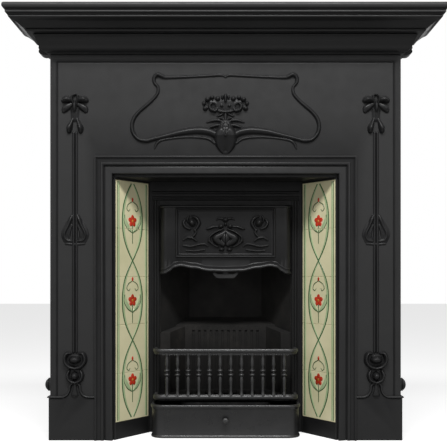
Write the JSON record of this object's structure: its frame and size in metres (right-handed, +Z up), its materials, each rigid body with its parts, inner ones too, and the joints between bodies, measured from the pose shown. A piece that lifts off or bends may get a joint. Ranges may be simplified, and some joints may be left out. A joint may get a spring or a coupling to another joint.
{
  "type": "cast iron fireplace",
  "caption": "Tiled combination fireplace: moulded shelf and surround, splayed tile panels, hood with damper, turned front bars, firebox and ash drawer.",
  "frame": {"origin": "centre of the bounding box at floor level", "axes": "+X to the viewer's right across the fireplace, +Y into the wall, +Z up"},
  "size_m": [1.336, 0.432, 1.332],
  "materials": {
    "iron": "satin black stove enamel over fine sand-cast grain, slightly polished on raised edges",
    "sooted_iron": "matt heat-darkened iron with soot",
    "tile": "glossy majolica glaze with raised line ornament",
    "steel": "blackened steel"
  },
  "bodies": {
    "fireplace": {"bottom_grate": "sooted_iron", "casing_bolt_left_1": "steel", "casing_bolt_left_2": "steel", "casing_bolt_right_1": "steel", "casing_bolt_right_2": "steel", "cornice": "iron", "cornice_bolt_left": "steel", "cornice_bolt_right": "steel", "fire_cheek_left": "sooted_iron", "fire_cheek_right": "sooted_iron", "fireback": "sooted_iron", "firebox_casing": "sooted_iron", "frame_bolt_left_1": "steel", "frame_bolt_left_2": "steel", "frame_bolt_right_1": "steel", "frame_bolt_right_2": "steel", "hood": "iron", "hood_bolt_left": "steel", "hood_bolt_right": "steel", "inset_frame": "iron", "mantel_front": "iron", "mantel_shelf": "iron", "opening_frame": "iron", "recess_soffit": "iron", "register_plate": "sooted_iron", "shelf_bolt_left": "steel", "shelf_bolt_right": "steel", "side_boss_left": "iron", "side_boss_right": "iron", "soffit_bolt_left": "steel", "soffit_bolt_right": "steel", "tile_left_1": "tile", "tile_left_2": "tile", "tile_left_3": "tile", "tile_left_4": "tile", "tile_left_5": "tile", "tile_right_1": "tile", "tile_right_2": "tile", "tile_right_3": "tile", "tile_right_4": "tile", "tile_right_5": "tile", "tile_tray_left": "iron", "tile_tray_right": "iron"},
    "ash_drawer": {"ash_cover": "iron", "ash_cover_knob": "iron", "ash_pan": "steel"},
    "front_bars": {"front_bars": "iron"},
    "damper": {"damper_flap": "sooted_iron", "damper_handle": "iron"}
  },
  "joints": [
    {"name": "ash_drawer_slide", "type": "slide", "parent": "fireplace", "child": "ash_drawer", "axis": [0, -1, 0], "range_m": [0, 0.24]},
    {"name": "front_bars_lift", "type": "slide", "parent": "fireplace", "child": "front_bars", "axis": [0, 0, 1], "range_m": [0, 0.03]},
    {"name": "damper_hinge", "type": "hinge", "parent": "fireplace", "child": "damper", "pos_m": [0, 0.069, 0.7119], "axis": [1, 0, 0], "range_deg": [0, 50]}
  ]
}
